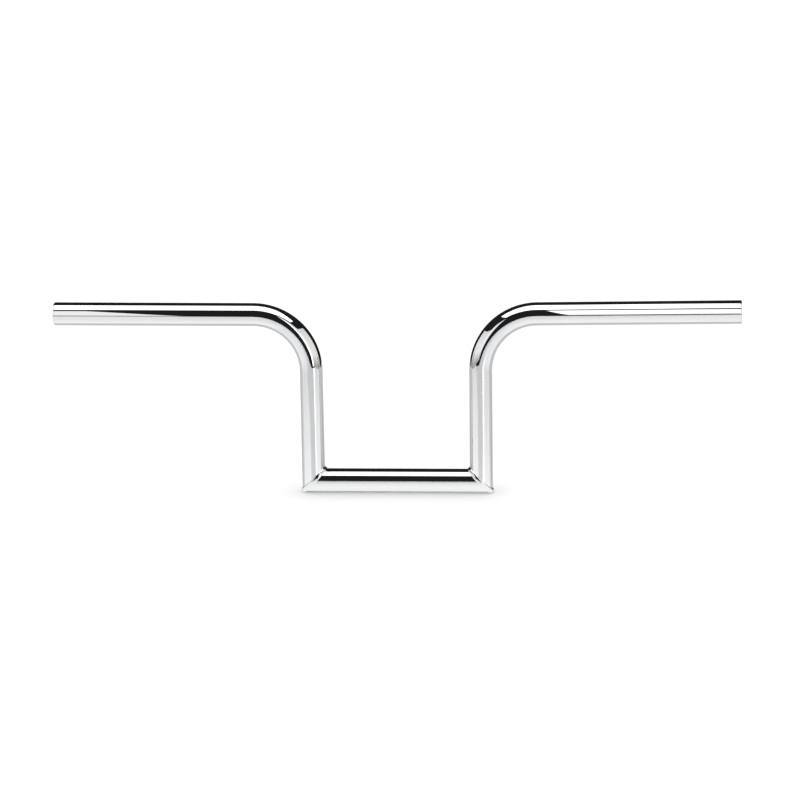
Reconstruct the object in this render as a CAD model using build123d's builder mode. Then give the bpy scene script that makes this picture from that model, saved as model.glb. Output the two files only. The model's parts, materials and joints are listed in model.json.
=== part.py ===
from build123d import *
import os
from math import cos, radians, sin, sqrt, tan

# Motorcycle handlebar of round steel tube: a straight centre tube that the clamps hold, and on
# each side one bent bar that rises from it and turns outwards into the grip.  The bars meet the
# centre tube in 45 degree mitres, and a weld bead runs round each mitre.
#
# Frame, mm: the origin is at the middle of the centre tube's axis, +X is the rider's right,
# +Y is forwards, away from the rider, and +Z is up along the risers.

# ---- Driving dimensions ----

# Tube
tube_diameter = 25.4
wall_thickness = 3.05

# Layout of the tube axes
riser_spacing = 187.0
rise = 186.0
bend_radius = 63.5
bar_end_reach = 373.5
pullback_angle = 4.0
upsweep_angle = 1.0

# Open bar ends
end_round = 1.2
bore_chamfer = 0.5

# Weld bead: an oval section that follows an oval round the mitre and doesn't reach the bore.  The
# depths are those of the section's centre under the tube's skin.  The inner corner is filled more.
bead_half_width = 2.8
bead_half_height = 1.8
bead_depth_side = 0.9
bead_depth_outer_corner = 1.7
bead_lift_inner_corner = 0.4

# ---- Derived dimensions ----

tube_radius = tube_diameter / 2
bore_radius = tube_radius - wall_thickness
riser_offset = riser_spacing / 2
mitre_overrun = 2 * tube_radius

# The bend lies in an upright plane that is turned back by the pullback angle.  Its setback is
# the distance from the point where the riser and grip axes would cross to each end of the bend.
bend_angle = 90 - upsweep_angle
bend_setback = bend_radius * tan(radians(bend_angle / 2))
grip_run = (bar_end_reach - riser_offset) / (cos(radians(pullback_angle)) * cos(radians(upsweep_angle)))
grip_length = grip_run - bend_setback

up = Vector(0, 0, 1)
outward = Vector(cos(radians(pullback_angle)), -sin(radians(pullback_angle)), 0)
grip_direction = outward * cos(radians(upsweep_angle)) + up * sin(radians(upsweep_angle))
axes_crossing = Vector(riser_offset, 0, rise)
bend_start_point = axes_crossing - up * bend_setback
grip_start_point = axes_crossing + grip_direction * bend_setback

# Right-hand planes across the tube, each facing along it from the mitre towards the bar end
riser_foot = Plane(origin=(riser_offset, 0, -mitre_overrun), x_dir=outward, z_dir=up)
bend_start = Plane(origin=bend_start_point, x_dir=outward, z_dir=up)
grip_start = Plane(origin=grip_start_point, x_dir=up.cross(outward), z_dir=grip_direction)
bend_axis = Axis(bend_start_point + outward * bend_radius, up.cross(outward))

# The mitre plane: X runs across the bar, Y up to the inner corner, and the normal to the riser
mitre = Plane(origin=(riser_offset, 0, 0), x_dir=(0, 1, 0), z_dir=(1, 0, 1))
mitre_reach = tube_radius * sqrt(2)
bead_path_inner = mitre_reach + bead_lift_inner_corner
bead_path_outer = mitre_reach - bead_depth_outer_corner
bead_path_side = tube_radius - bead_depth_side
bead_path_half_length = (bead_path_inner + bead_path_outer) / 2
bead_path_shift = (bead_path_inner - bead_path_outer) / 2
bead_section_point = mitre.from_local_coords((bead_path_side, bead_path_shift, 0))
bead_section = Plane(origin=bead_section_point, x_dir=mitre.z_dir, z_dir=mitre.y_dir)


# ---- Shapes that the pieces share ----


def tube_sketch(plane):
    """The tube's ring section on a plane across it."""
    with BuildSketch(plane) as ring:
        Circle(tube_radius)
        Circle(bore_radius, mode=Mode.SUBTRACT)
    return ring.sketch


# The whole bead, which also shapes the groove that it fills between the two tubes
with BuildPart() as bead:
    with BuildLine(mitre) as bead_path:
        EllipticalCenterArc((0, bead_path_shift), bead_path_side, bead_path_half_length, arc_size=180)
        EllipticalCenterArc(
            (0, bead_path_shift), bead_path_side, bead_path_half_length, start_angle=180, arc_size=180
        )
    with BuildSketch(bead_section):
        Ellipse(bead_half_width, bead_half_height)
    sweep(path=bead_path.line)

# ---- Pieces ----

with BuildPart() as right_weld:
    add(bead.part)

with BuildPart() as left_weld:
    mirror(right_weld.part, about=Plane.YZ)

# One tube, bent cold: riser, bend and grip, with the open end rounded over by the polishing
with BuildPart() as right_bar:
    extrude(tube_sketch(riser_foot), amount=bend_start_point.Z + mitre_overrun)
    split(bisect_by=mitre, keep=Keep.TOP)
    revolve(tube_sketch(bend_start), axis=bend_axis, revolution_arc=bend_angle)
    extrude(tube_sketch(grip_start), amount=grip_length)
    end_edges = right_bar.faces().sort_by(Axis.X)[-1].edges().sort_by(SortBy.RADIUS)
    fillet(end_edges[-1], radius=end_round)
    chamfer(end_edges[0], length=bore_chamfer)
    add(bead.part, mode=Mode.SUBTRACT)

with BuildPart() as left_bar:
    mirror(right_bar.part, about=Plane.YZ)

with BuildPart() as centre_tube:
    extrude(tube_sketch(Plane.YZ), amount=riser_offset + mitre_overrun)
    split(bisect_by=mitre, keep=Keep.BOTTOM)
    add(bead.part, mode=Mode.SUBTRACT)
    mirror(about=Plane.YZ)

# ---- Files ----

os.makedirs("parts", exist_ok=True)

centre_tube.part.label = "centre_tube"
export_step(centre_tube.part, "parts/centre_tube.step")

left_bar.part.label = "left_bar"
export_step(left_bar.part, "parts/left_bar.step")

right_bar.part.label = "right_bar"
export_step(right_bar.part, "parts/right_bar.step")

left_weld.part.label = "left_weld"
export_step(left_weld.part, "parts/left_weld.step")

right_weld.part.label = "right_weld"
export_step(right_weld.part, "parts/right_weld.step")
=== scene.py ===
import json
import math

import bmesh
import bpy
from mathutils import Matrix, Vector


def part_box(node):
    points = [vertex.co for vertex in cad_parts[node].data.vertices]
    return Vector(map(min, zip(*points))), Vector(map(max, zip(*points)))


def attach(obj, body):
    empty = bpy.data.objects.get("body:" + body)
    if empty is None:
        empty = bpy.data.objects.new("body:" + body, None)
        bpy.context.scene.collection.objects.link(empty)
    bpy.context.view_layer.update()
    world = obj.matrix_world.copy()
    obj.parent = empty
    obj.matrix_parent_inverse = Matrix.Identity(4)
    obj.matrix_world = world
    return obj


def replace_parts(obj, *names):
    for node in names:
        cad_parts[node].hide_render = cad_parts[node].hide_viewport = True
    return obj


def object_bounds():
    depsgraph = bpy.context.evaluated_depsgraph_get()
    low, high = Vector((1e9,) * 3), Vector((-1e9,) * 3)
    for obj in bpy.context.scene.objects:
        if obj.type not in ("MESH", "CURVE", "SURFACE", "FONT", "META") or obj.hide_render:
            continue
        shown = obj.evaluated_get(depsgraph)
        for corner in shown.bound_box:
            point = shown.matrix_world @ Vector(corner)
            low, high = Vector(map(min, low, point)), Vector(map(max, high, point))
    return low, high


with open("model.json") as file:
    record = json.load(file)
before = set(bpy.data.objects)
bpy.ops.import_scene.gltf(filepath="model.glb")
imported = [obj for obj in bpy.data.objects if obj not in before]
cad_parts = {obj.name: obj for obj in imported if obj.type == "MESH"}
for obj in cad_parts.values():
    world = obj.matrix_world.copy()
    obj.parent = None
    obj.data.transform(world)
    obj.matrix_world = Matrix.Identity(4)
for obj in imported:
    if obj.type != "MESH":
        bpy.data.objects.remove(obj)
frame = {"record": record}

cad_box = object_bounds()
record = frame["record"]
scene = bpy.context.scene

# ---------------------------------------------------------------------------------------------
# Sizes, in metres.  The tube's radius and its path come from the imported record's mounts.
# ---------------------------------------------------------------------------------------------

MM_PER_M = 1000
mounts = {m["name"]: m for m in record["mounts"]}
grip_mount = mounts["right_grip"]

TUBE_R = mounts["clamp_section"]["dims"]["r_mm"] / MM_PER_M
BORE_R = mounts["right_end_bore"]["dims"]["r_mm"] / MM_PER_M
GRIP_AXIS = Vector(grip_mount["axis"]).normalized()
GRIP_MID = Vector(grip_mount["pos_m"])
GRIP_LENGTH = grip_mount["dims"]["length_mm"] / MM_PER_M
GRIP_HALF = GRIP_LENGTH / 2
UP = Vector((0, 0, 1))

# The grip's axis crosses the riser's axis where it crosses the plane Y = 0
AXES_CROSSING = GRIP_MID - GRIP_AXIS * (GRIP_MID.y / GRIP_AXIS.y)
GRIP_START = GRIP_MID - GRIP_AXIS * GRIP_HALF
BEND_SETBACK = (GRIP_START - AXES_CROSSING).length
BEND_ANGLE = UP.angle(GRIP_AXIS)
BEND_R = BEND_SETBACK / math.tan(BEND_ANGLE / 2)
RISER_X = AXES_CROSSING.x
RISER_TOP = AXES_CROSSING - UP * BEND_SETBACK
OUTWARD = Vector((GRIP_AXIS.x, GRIP_AXIS.y, 0)).normalized()
SIDEWAYS = UP.cross(OUTWARD)
BEND_CENTRE = RISER_TOP + OUTWARD * BEND_R

# The open ends of the bars
END_ROUND = 0.0012
BORE_CHAMFER = 0.0005

# The bead's section, and how far its middle lies under the tube's outer corner and above the inner one
BEAD_HALF_WIDTH = 0.0028
BEAD_HALF_HEIGHT = 0.0018
BEAD_DEPTH_OUTER = 0.0017
BEAD_LIFT_INNER = 0.0004
BEAD_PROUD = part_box("right_weld")[1].y - TUBE_R

FLOOR_Z = cad_box[0][2]

SEGMENTS = 128
SHARP_ANGLE = math.radians(32)


# ---------------------------------------------------------------------------------------------
# Mesh helpers
# ---------------------------------------------------------------------------------------------


def ring(centre, across, upright, radius):
    """Points of a circle round centre, in the plane of two unit vectors."""
    step = 2 * math.pi / SEGMENTS
    return [
        centre + (across * math.cos(i * step) + upright * math.sin(i * step)) * radius
        for i in range(SEGMENTS)
    ]


def tube_piece(name, rings, bore_rings, materials):
    """A closed tube from rings that run along the outside, then back along the bore."""
    loops = rings + bore_rings
    mesh = bpy.data.meshes.new(name)
    bm = bmesh.new()
    verts = [bm.verts.new(p) for loop in loops for p in loop]
    count = len(loops)
    for k in range(count):
        nxt = (k + 1) % count
        for i in range(SEGMENTS):
            j = (i + 1) % SEGMENTS
            face = bm.faces.new(
                (
                    verts[k * SEGMENTS + i],
                    verts[k * SEGMENTS + j],
                    verts[nxt * SEGMENTS + j],
                    verts[nxt * SEGMENTS + i],
                )
            )
            face.smooth = True
            face.material_index = 1 if k >= len(rings) else 0
    bmesh.ops.recalc_face_normals(bm, faces=bm.faces)
    bm.to_mesh(mesh)
    bm.free()
    mesh.set_sharp_from_angle(angle=SHARP_ANGLE)
    for material in materials:
        mesh.materials.append(material)
    piece = bpy.data.objects.new(name, mesh)
    scene.collection.objects.link(piece)
    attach(piece, "root")
    return piece


def mirrored(points):
    return [Vector((-p.x, p.y, p.z)) for p in points]


# ---------------------------------------------------------------------------------------------
# Materials.  Noise scales are in waves per metre, and bump distances in metres.
# ---------------------------------------------------------------------------------------------

CHROME_COLOURS = ((0.735, 0.745, 0.76, 1), (0.77, 0.775, 0.785, 1))
TINT_SCALE = 14.0
HAZE_SCALE = 90.0
HAZE_RANGE = (0.35, 0.75)
CLEAREST_CHROME = 0.012
WAVE_SCALE = 28.0
WAVE_DISTANCE = 0.001
PEEL_SCALE = 700.0
PEEL_DISTANCE = 0.00001
PEEL_STRENGTH = 0.08

# How strongly the surface waves, and the roughness of its haziest spots
TUBE_WAVE = 0.02
TUBE_HAZE = 0.035
WELD_WAVE = 0.06
WELD_HAZE = 0.06

STEEL_COLOURS = ((0.30, 0.29, 0.28, 1), (0.13, 0.105, 0.085, 1))
PATCH_SCALE = 160.0
PATCH_COLOUR_RANGE = (0.42, 0.7)
PATCH_ROUGH_RANGE = (0.3, 0.7)
STEEL_ROUGHNESS = (0.38, 0.62)
STEEL_BUMP_DISTANCE = 0.0001
STEEL_BUMP_STRENGTH = 0.4


def new_material(name):
    material = bpy.data.materials.new(name)
    material.use_nodes = True
    tree = material.node_tree
    return material, tree, tree.nodes["Principled BSDF"]


def link(tree, source, target):
    tree.links.new(source, target)


def node(tree, kind, **settings):
    made = tree.nodes.new(kind)
    for key, value in settings.items():
        setattr(made, key, value)
    return made


def noise(tree, coords, scale, detail, rough=0.5):
    made = node(tree, "ShaderNodeTexNoise")
    made.inputs["Scale"].default_value = scale
    made.inputs["Detail"].default_value = detail
    made.inputs["Roughness"].default_value = rough
    link(tree, coords, made.inputs["Vector"])
    return made.outputs["Fac"]


def ramp(tree, source, low, high, out_low, out_high):
    made = node(tree, "ShaderNodeMapRange")
    made.inputs["From Min"].default_value = low
    made.inputs["From Max"].default_value = high
    made.inputs["To Min"].default_value = out_low
    made.inputs["To Max"].default_value = out_high
    link(tree, source, made.inputs["Value"])
    return made.outputs["Result"]


def bump(tree, height, distance, strength, below=None):
    made = node(tree, "ShaderNodeBump")
    made.inputs["Strength"].default_value = strength
    made.inputs["Distance"].default_value = distance
    link(tree, height, made.inputs["Height"])
    if below is not None:
        link(tree, below, made.inputs["Normal"])
    return made.outputs["Normal"]


def mix_colours(tree, factor, colours):
    """One of two colours, or a blend, by factor.  A mix node's colours are its sockets 6 and 7."""
    made = node(tree, "ShaderNodeMix", data_type="RGBA")
    made.inputs[6].default_value, made.inputs[7].default_value = colours
    link(tree, factor, made.inputs[0])
    return made.outputs[2]


def chrome_material(name, wave_strength, haze):
    """Mirror chrome: a cool metal tint, faint polishing haze, and the slow waviness of buffed tube."""
    material, tree, shader = new_material(name)
    coords = node(tree, "ShaderNodeTexCoord").outputs["Object"]
    shader.inputs["Metallic"].default_value = 1.0
    tint = noise(tree, coords, TINT_SCALE, detail=3.0)
    link(tree, mix_colours(tree, tint, CHROME_COLOURS), shader.inputs["Base Color"])
    haze_noise = noise(tree, coords, HAZE_SCALE, detail=5.0, rough=0.65)
    roughness = ramp(tree, haze_noise, *HAZE_RANGE, CLEAREST_CHROME, haze)
    link(tree, roughness, shader.inputs["Roughness"])
    wave = bump(tree, noise(tree, coords, WAVE_SCALE, detail=1.0), WAVE_DISTANCE, wave_strength)
    peel_noise = noise(tree, coords, PEEL_SCALE, detail=2.0)
    peel = bump(tree, peel_noise, PEEL_DISTANCE, PEEL_STRENGTH, wave)
    link(tree, peel, shader.inputs["Normal"])
    return material


def bore_material():
    """The tube's inside: bare drawn steel, dull, with brownish patches."""
    material, tree, shader = new_material("bore_steel")
    coords = node(tree, "ShaderNodeTexCoord").outputs["Object"]
    shader.inputs["Metallic"].default_value = 1.0
    patches = noise(tree, coords, PATCH_SCALE, detail=6.0, rough=0.6)
    browning = ramp(tree, patches, *PATCH_COLOUR_RANGE, 0.0, 1.0)
    link(tree, mix_colours(tree, browning, STEEL_COLOURS), shader.inputs["Base Color"])
    roughness = ramp(tree, patches, *PATCH_ROUGH_RANGE, *STEEL_ROUGHNESS)
    link(tree, roughness, shader.inputs["Roughness"])
    relief = bump(tree, patches, STEEL_BUMP_DISTANCE, STEEL_BUMP_STRENGTH)
    link(tree, relief, shader.inputs["Normal"])
    return material


chrome = chrome_material("chrome_tube", TUBE_WAVE, TUBE_HAZE)
weld_chrome = chrome_material("chrome_weld", WELD_WAVE, WELD_HAZE)
bore_steel = bore_material()


# ---------------------------------------------------------------------------------------------
# Centre tube
# ---------------------------------------------------------------------------------------------

CENTRE_SKIN_SPANS = 40
CENTRE_BORE_SPANS = 20


def mitre_ring_centre(side, radius):
    """Where a skin of the centre tube meets the mitre plane, which rises inwards at 45 degrees."""
    flat = ring(Vector((0, 0, 0)), Vector((0, 1, 0)), UP, radius)
    return [Vector((side * (RISER_X - p.z), p.y, p.z)) for p in flat]


def centre_rings(radius, spans):
    left = mitre_ring_centre(-1, radius)
    right = mitre_ring_centre(1, radius)
    return [
        [a.lerp(b, k / spans) for a, b in zip(left, right)]
        for k in range(spans + 1)
    ]


centre_tube = tube_piece(
    "centre_tube_chrome",
    centre_rings(TUBE_R, CENTRE_SKIN_SPANS),
    centre_rings(BORE_R, CENTRE_BORE_SPANS)[::-1],
    [chrome, bore_steel],
)
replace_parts(centre_tube, "centre_tube")


# ---------------------------------------------------------------------------------------------
# Bent bars
# ---------------------------------------------------------------------------------------------

# Spans between the rings along a bar's riser, bend and grip
SKIN_SPANS = (24, 90, 48)
BORE_SPANS = (12, 45, 24)
ROUND_STEPS = 8


def inward_at(turn):
    """The direction towards the bend's centre, where the bar has turned by this angle."""
    return OUTWARD * math.cos(turn) - UP * math.sin(turn)


def bar_rings(radius, spans, grip_length):
    """Rings of one skin, from the mitre up the riser, round the bend and along the grip."""
    riser_spans, bend_spans, grip_spans = spans
    section = ring(Vector((RISER_X, 0, 0)), OUTWARD, SIDEWAYS, radius)
    foot = [Vector((p.x, p.y, RISER_X - p.x)) for p in section]
    top = ring(RISER_TOP, OUTWARD, SIDEWAYS, radius)
    rings = [
        [a.lerp(b, k / riser_spans) for a, b in zip(foot, top)]
        for k in range(riser_spans)
    ]
    for k in range(bend_spans):
        inward = inward_at(BEND_ANGLE * k / bend_spans)
        rings.append(ring(BEND_CENTRE - inward * BEND_R, inward, SIDEWAYS, radius))
    inward = inward_at(BEND_ANGLE)
    for k in range(grip_spans + 1):
        centre = GRIP_START + GRIP_AXIS * (grip_length * k / grip_spans)
        rings.append(ring(centre, inward, SIDEWAYS, radius))
    return rings


def right_bar_skins():
    """The outside with its rounded end, and the bore from its chamfer back to the mitre."""
    outer = bar_rings(TUBE_R, SKIN_SPANS, GRIP_LENGTH)
    inward = inward_at(BEND_ANGLE)
    for k in range(1, ROUND_STEPS + 1):
        turn = math.pi / 2 * k / ROUND_STEPS
        centre = GRIP_START + GRIP_AXIS * (GRIP_LENGTH + END_ROUND * math.sin(turn))
        radius = TUBE_R - END_ROUND * (1 - math.cos(turn))
        outer.append(ring(centre, inward, SIDEWAYS, radius))
    end = GRIP_START + GRIP_AXIS * (GRIP_LENGTH + END_ROUND)
    outer.append(ring(end, inward, SIDEWAYS, BORE_R + BORE_CHAMFER))
    bore = bar_rings(BORE_R, BORE_SPANS, GRIP_LENGTH + END_ROUND - BORE_CHAMFER)
    return outer, bore[::-1]


outer_rings, inner_rings = right_bar_skins()
right_bar = tube_piece("right_bar_chrome", outer_rings, inner_rings, [chrome, bore_steel])
left_bar = tube_piece(
    "left_bar_chrome",
    [mirrored(r) for r in outer_rings],
    [mirrored(r) for r in inner_rings],
    [chrome, bore_steel],
)
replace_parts(right_bar, "right_bar")
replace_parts(left_bar, "left_bar")


# ---------------------------------------------------------------------------------------------
# Weld beads
# ---------------------------------------------------------------------------------------------

RIPPLE_PITCH = 0.0013
RIPPLE_DEPTH = 0.00003
RIPPLE_CRESCENT = 0.55

# How much squarer the section is at the tube's sides than at the mitre's corners
CREST_FLATNESS = 0.55
BEAD_STEPS = 900
BEAD_AROUND = 40


def weld_bead(name, side):
    """An oval section swept round the mitre, with the faint ripples of the weld pool."""
    along = Vector((side, 0, 1)).normalized()
    inner = Vector((-side, 0, 1)).normalized()
    corner = Vector((side * RISER_X, 0, 0))
    reach = TUBE_R * math.sqrt(2)
    inner_reach = reach + BEAD_LIFT_INNER
    outer_reach = reach - BEAD_DEPTH_OUTER
    half_long = (inner_reach + outer_reach) / 2
    shift = (inner_reach - outer_reach) / 2
    half_wide = TUBE_R - (BEAD_HALF_HEIGHT - BEAD_PROUD)
    bm = bmesh.new()
    loops = []
    travelled = 0.0
    before = None
    for k in range(BEAD_STEPS):
        u = 2 * math.pi * k / BEAD_STEPS
        upwards = inner * (shift + half_long * math.sin(u))
        centre = corner + upwards + Vector((0, half_wide * math.cos(u), 0))
        tangent = inner * (half_long * math.cos(u)) + Vector((0, -half_wide * math.sin(u), 0))
        away = along.cross(tangent.normalized()).normalized()
        if away.dot(centre - corner) < 0:
            away = -away
        if before is not None:
            travelled += (centre - before).length
        before = centre
        flatness = 1 - CREST_FLATNESS * abs(math.cos(u))
        loop = []
        for i in range(BEAD_AROUND):
            v = 2 * math.pi * i / BEAD_AROUND
            crescent = RIPPLE_CRESCENT * math.cos(v) ** 2
            wave = 0.5 + 0.5 * math.cos(2 * math.pi * (travelled / RIPPLE_PITCH + crescent))
            rise = math.copysign(abs(math.sin(v)) ** flatness, math.sin(v))
            height = BEAD_HALF_HEIGHT - RIPPLE_DEPTH * wave * max(0.0, rise)
            sideways = along * (BEAD_HALF_WIDTH * math.cos(v))
            loop.append(bm.verts.new(centre + sideways + away * (height * rise)))
        loops.append(loop)
    for k in range(BEAD_STEPS):
        a, b = loops[k], loops[(k + 1) % BEAD_STEPS]
        for i in range(BEAD_AROUND):
            j = (i + 1) % BEAD_AROUND
            bm.faces.new((a[i], a[j], b[j], b[i])).smooth = True
    bmesh.ops.recalc_face_normals(bm, faces=bm.faces)
    mesh = bpy.data.meshes.new(name)
    bm.to_mesh(mesh)
    bm.free()
    mesh.materials.append(weld_chrome)
    piece = bpy.data.objects.new(name, mesh)
    scene.collection.objects.link(piece)
    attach(piece, "root")
    return piece


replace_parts(weld_bead("right_weld_bead", 1), "right_weld")
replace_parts(weld_bead("left_weld_bead", -1), "left_weld")


# ---------------------------------------------------------------------------------------------
# Studio.  The camera sees only a matt white floor and the white world.  The chrome mirrors a
# glossy table top, a softbox overhead, cards in front, a wall at each side and the dark room.
# ---------------------------------------------------------------------------------------------

WORLD_LIGHT = 1.5
GROUND_HALF = 30.0
GROUND_SHADE = 0.74

# The table top, with (Y, shade) pairs of painted shade: lightest just in front of the bar, a painted
# contact shadow where it stands, and darkest behind it
TABLE_FRONT = -0.86
TABLE_BACK = 1.6
TABLE_HALF = 1.0
TABLE_PAINTED_SHADES = [
    (-0.25, 0.66),
    (-0.06, 0.74),
    (-0.006, 0.80),
    (0.004, 0.44),
    (0.1, 0.38),
    (0.3, 0.46),
    (0.6, 0.6),
]
TABLE_GLOSS = 0.5
TABLE_GLOW = 0.27
FLOOR_ROUGHNESS = 0.1

# The softbox overhead: the corners of its outline, seen from above
SOFTBOX_Z = 1.38
SOFTBOX_OUTLINE = [
    (-0.96, -0.99),
    (0.96, -0.99),
    (0.96, -0.2),
    (0.3, 0.27),
    (-0.3, 0.27),
    (-0.96, 0.2),
]
SOFTBOX_LIGHT = 2.0

# The cards in front and the walls at the sides.  The inner edges of the two large cards stand
# nearer to the bar than their outer edges.
FRONT_Y = -0.93
WALL_X = 0.96
WALL_BACK = 0.4
LEFT_WALL_TOP = 0.72
RIGHT_WALL_TOP = 0.98
LEFT_CARD = [
    (-WALL_X, FRONT_Y, 0.02),
    (-0.264, -0.72, 0.05),
    (-0.43, -0.72, 0.73),
    (-WALL_X, FRONT_Y, 0.89),
]
FAR_CARD_X = 0.46
CARD_TOP = 0.93
CARD_LIFT = 0.01
RIGHT_CARD = [
    (0.128, -0.48, 0.155),
    (FAR_CARD_X, FRONT_Y, 0.095),
    (FAR_CARD_X, FRONT_Y, CARD_TOP),
    (0.080, -0.48, 0.585),
]
STRIP_LEFT = 0.43
STRIP_RIGHT = 0.64
STRIP_TOP = 0.25
STRIP_LIGHT = 2.6

# Light of the cards and walls as (height, strength) pairs
LEFT_GRADE = [(0.05, 0.5), (0.16, 1.12), (0.55, 1.12), (0.88, 0.6)]
RIGHT_GRADE = [(0.05, 0.7), (0.28, 1.7), (0.6, 1.7), (0.98, 0.5)]
FAR_GRADE = [(0.05, 0.55), (0.2, 1.2), (0.6, 1.2), (0.9, 0.6)]
LEFT_WALL_GRADE = [(0.05, 0.5), (0.25, 1.1), (0.7, 0.9)]
RIGHT_WALL_GRADE = [(0.05, 0.5), (0.25, 1.05), (0.9, 0.9)]

WHITE = (1, 1, 1)
WARM_WHITE = (1, 0.985, 0.94)
ROOM_COLOUR = (0.88, 0.93, 1)
ROOM_LIGHT = 0.017
ROOM_HALF = 12.0


def emission_material(name, colour, strength):
    material = bpy.data.materials.new(name)
    material.use_nodes = True
    tree = material.node_tree
    tree.nodes.clear()
    light = node(tree, "ShaderNodeEmission")
    light.inputs["Color"].default_value = (*colour, 1)
    light.inputs["Strength"].default_value = strength
    out = node(tree, "ShaderNodeOutputMaterial")
    link(tree, light.outputs[0], out.inputs["Surface"])
    return material


def card(name, corners, material, camera=False, glossy=True, diffuse=False):
    """A card of the studio, from its corners."""
    mesh = bpy.data.meshes.new(name)
    mesh.from_pydata([Vector(c) for c in corners], [], [tuple(range(len(corners)))])
    mesh.materials.append(material)
    made = bpy.data.objects.new(name, mesh)
    scene.collection.objects.link(made)
    made.visible_camera = camera
    made.visible_glossy = glossy
    made.visible_diffuse = diffuse
    made.visible_shadow = False
    return made


def graded(tree, axis, stops):
    """A value that follows (place, value) pairs along one axis of the studio."""
    split = node(tree, "ShaderNodeSeparateXYZ")
    link(tree, node(tree, "ShaderNodeTexCoord").outputs["Object"], split.inputs[0])
    value = None
    for (low, from_value), (high, to_value) in zip(stops, stops[1:]):
        total = node(tree, "ShaderNodeMath", operation="ADD")
        total.inputs[0].default_value = from_value
        if value is not None:
            link(tree, value, total.inputs[0])
        link(tree, ramp(tree, split.outputs[axis], low, high, 0, to_value - from_value), total.inputs[1])
        value = total.outputs[0]
    return value


def floor_material(name, gloss):
    """A level surface, with the shader whose colour its caller sets."""
    material, tree, shader = new_material(name)
    shader.inputs["Roughness"].default_value = FLOOR_ROUGHNESS
    shader.inputs["Specular IOR Level"].default_value = gloss
    return material, tree, shader


def matt_floor_material():
    material, _, shader = floor_material("matt_floor", 0.0)
    shader.inputs["Base Color"].default_value = (GROUND_SHADE, GROUND_SHADE, GROUND_SHADE, 1)
    return material


def table_material():
    """The glossy table top, with painted shade graded from front to back and a painted contact shadow
    under the bar, and with a little light of its own.
    """
    material, tree, shader = floor_material("glossy_table", TABLE_GLOSS)
    # Painted shade: the grey drops sharply where the bar stands, as a painted contact shadow, and stays
    # darker behind it
    level = graded(tree, "Y", TABLE_PAINTED_SHADES)
    grey = node(tree, "ShaderNodeCombineColor")
    for channel in ("Red", "Green", "Blue"):
        link(tree, level, grey.inputs[channel])
    link(tree, grey.outputs[0], shader.inputs["Base Color"])
    shader.inputs["Emission Color"].default_value = (*WHITE, 1)
    shader.inputs["Emission Strength"].default_value = TABLE_GLOW
    return material


def graded_light(name, stops, colour=WHITE):
    """A card's light, graded by height."""
    material = emission_material(name, colour, 1.0)
    tree = material.node_tree
    link(tree, graded(tree, "Z", stops), tree.nodes["Emission"].inputs["Strength"])
    return material


def level_card(name, low, high, material, **visible):
    """A rectangle on the floor, from its front left and back right corners."""
    (left, front), (right, back) = low, high
    outline = ((left, front), (right, front), (right, back), (left, back))
    return card(name, [(x, y, FLOOR_Z) for x, y in outline], material, **visible)


def front_card(name, left, right, top, y, material):
    """An upright rectangle that faces the bar and stands just clear of the floor."""
    low = FLOOR_Z + CARD_LIFT
    corners = [(left, y, low), (right, y, low), (right, y, top), (left, y, top)]
    return card(name, corners, material)


def side_wall(name, x, top, material):
    """An upright rectangle beside the bar."""
    outline = ((FRONT_Y, FLOOR_Z), (WALL_BACK, FLOOR_Z), (WALL_BACK, top), (FRONT_Y, top))
    return card(name, [(x, y, z) for y, z in outline], material)


level_card(
    "studio_floor",
    (-GROUND_HALF, -GROUND_HALF),
    (GROUND_HALF, GROUND_HALF),
    matt_floor_material(),
    camera=True,
    glossy=False,
    diffuse=True,
)
level_card(
    "studio_table",
    (-TABLE_HALF, TABLE_FRONT),
    (TABLE_HALF, TABLE_BACK),
    table_material(),
)
card(
    "softbox",
    [(x, y, SOFTBOX_Z) for x, y in SOFTBOX_OUTLINE],
    emission_material("softbox_light", WHITE, SOFTBOX_LIGHT),
)

card("front_left_card", LEFT_CARD, graded_light("left_light", LEFT_GRADE))
card("front_right_card", RIGHT_CARD, graded_light("right_light", RIGHT_GRADE))
far_light = graded_light("far_light", FAR_GRADE)
front_card("front_far_card", FAR_CARD_X, WALL_X, CARD_TOP, FRONT_Y, far_light)
strip_light = emission_material("strip_light", WHITE, STRIP_LIGHT)
front_card("front_strip", STRIP_LEFT, STRIP_RIGHT, STRIP_TOP, FRONT_Y + CARD_LIFT, strip_light)

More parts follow.
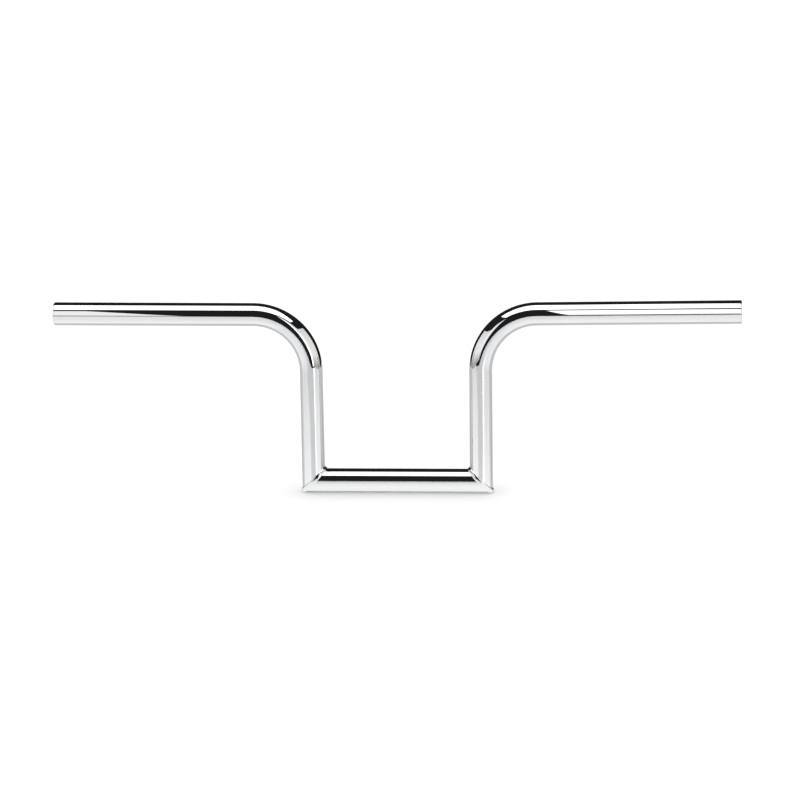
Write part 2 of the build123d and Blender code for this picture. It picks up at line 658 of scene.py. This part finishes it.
left_wall_light = graded_light("left_wall_light", LEFT_WALL_GRADE)
side_wall("left_wall", -WALL_X, LEFT_WALL_TOP, left_wall_light)
right_wall_light = graded_light("right_wall_light", RIGHT_WALL_GRADE, WARM_WHITE)
side_wall("right_wall", WALL_X, RIGHT_WALL_TOP, right_wall_light)

# The dark room round it all, which only the chrome mirrors
room = bpy.data.meshes.new("studio_room")
bm = bmesh.new()
bmesh.ops.create_cube(bm, size=2 * ROOM_HALF)
bm.to_mesh(room)
bm.free()
room.materials.append(emission_material("room_dark", ROOM_COLOUR, ROOM_LIGHT))
room_object = bpy.data.objects.new("studio_room", room)
scene.collection.objects.link(room_object)
room_object.visible_camera = False
room_object.visible_diffuse = False
room_object.visible_shadow = False

world = bpy.data.worlds.new("studio_dome")
world.use_nodes = True
background = world.node_tree.nodes["Background"]
background.inputs["Color"].default_value = (*WHITE, 1)
background.inputs["Strength"].default_value = WORLD_LIGHT
world.cycles_visibility.glossy = False
scene.world = world

# ---------------------------------------------------------------------------------------------
# Camera: in front and a little to the right, looking slightly down.  Angles are in degrees.
# ---------------------------------------------------------------------------------------------

CAMERA_PITCH = 11.445
CAMERA_YAW = 4.612
CAMERA_ROLL = 0.859
CAMERA_DISTANCE = 2.11225
CAMERA_TARGET = Vector((0.004282, 0, 0.090706))
CAMERA_LENS = 86.126
CAMERA_SENSOR = 36

turn = (
    Matrix.Rotation(math.radians(CAMERA_YAW), 4, "Z")
    @ Matrix.Rotation(-math.radians(CAMERA_PITCH), 4, "X")
    @ Matrix.Rotation(math.radians(CAMERA_ROLL), 4, "Y")
)
forward = turn @ Vector((0, 1, 0))
camera_data = bpy.data.cameras.new("camera")
camera_data.sensor_width = CAMERA_SENSOR
camera_data.lens = CAMERA_LENS
camera = bpy.data.objects.new("camera", camera_data)
scene.collection.objects.link(camera)
place = Matrix.Translation(CAMERA_TARGET - forward * CAMERA_DISTANCE)
camera.matrix_world = place @ turn @ Matrix.Rotation(math.radians(90), 4, "X")
scene.camera = camera
scene.view_settings.view_transform = "Standard"
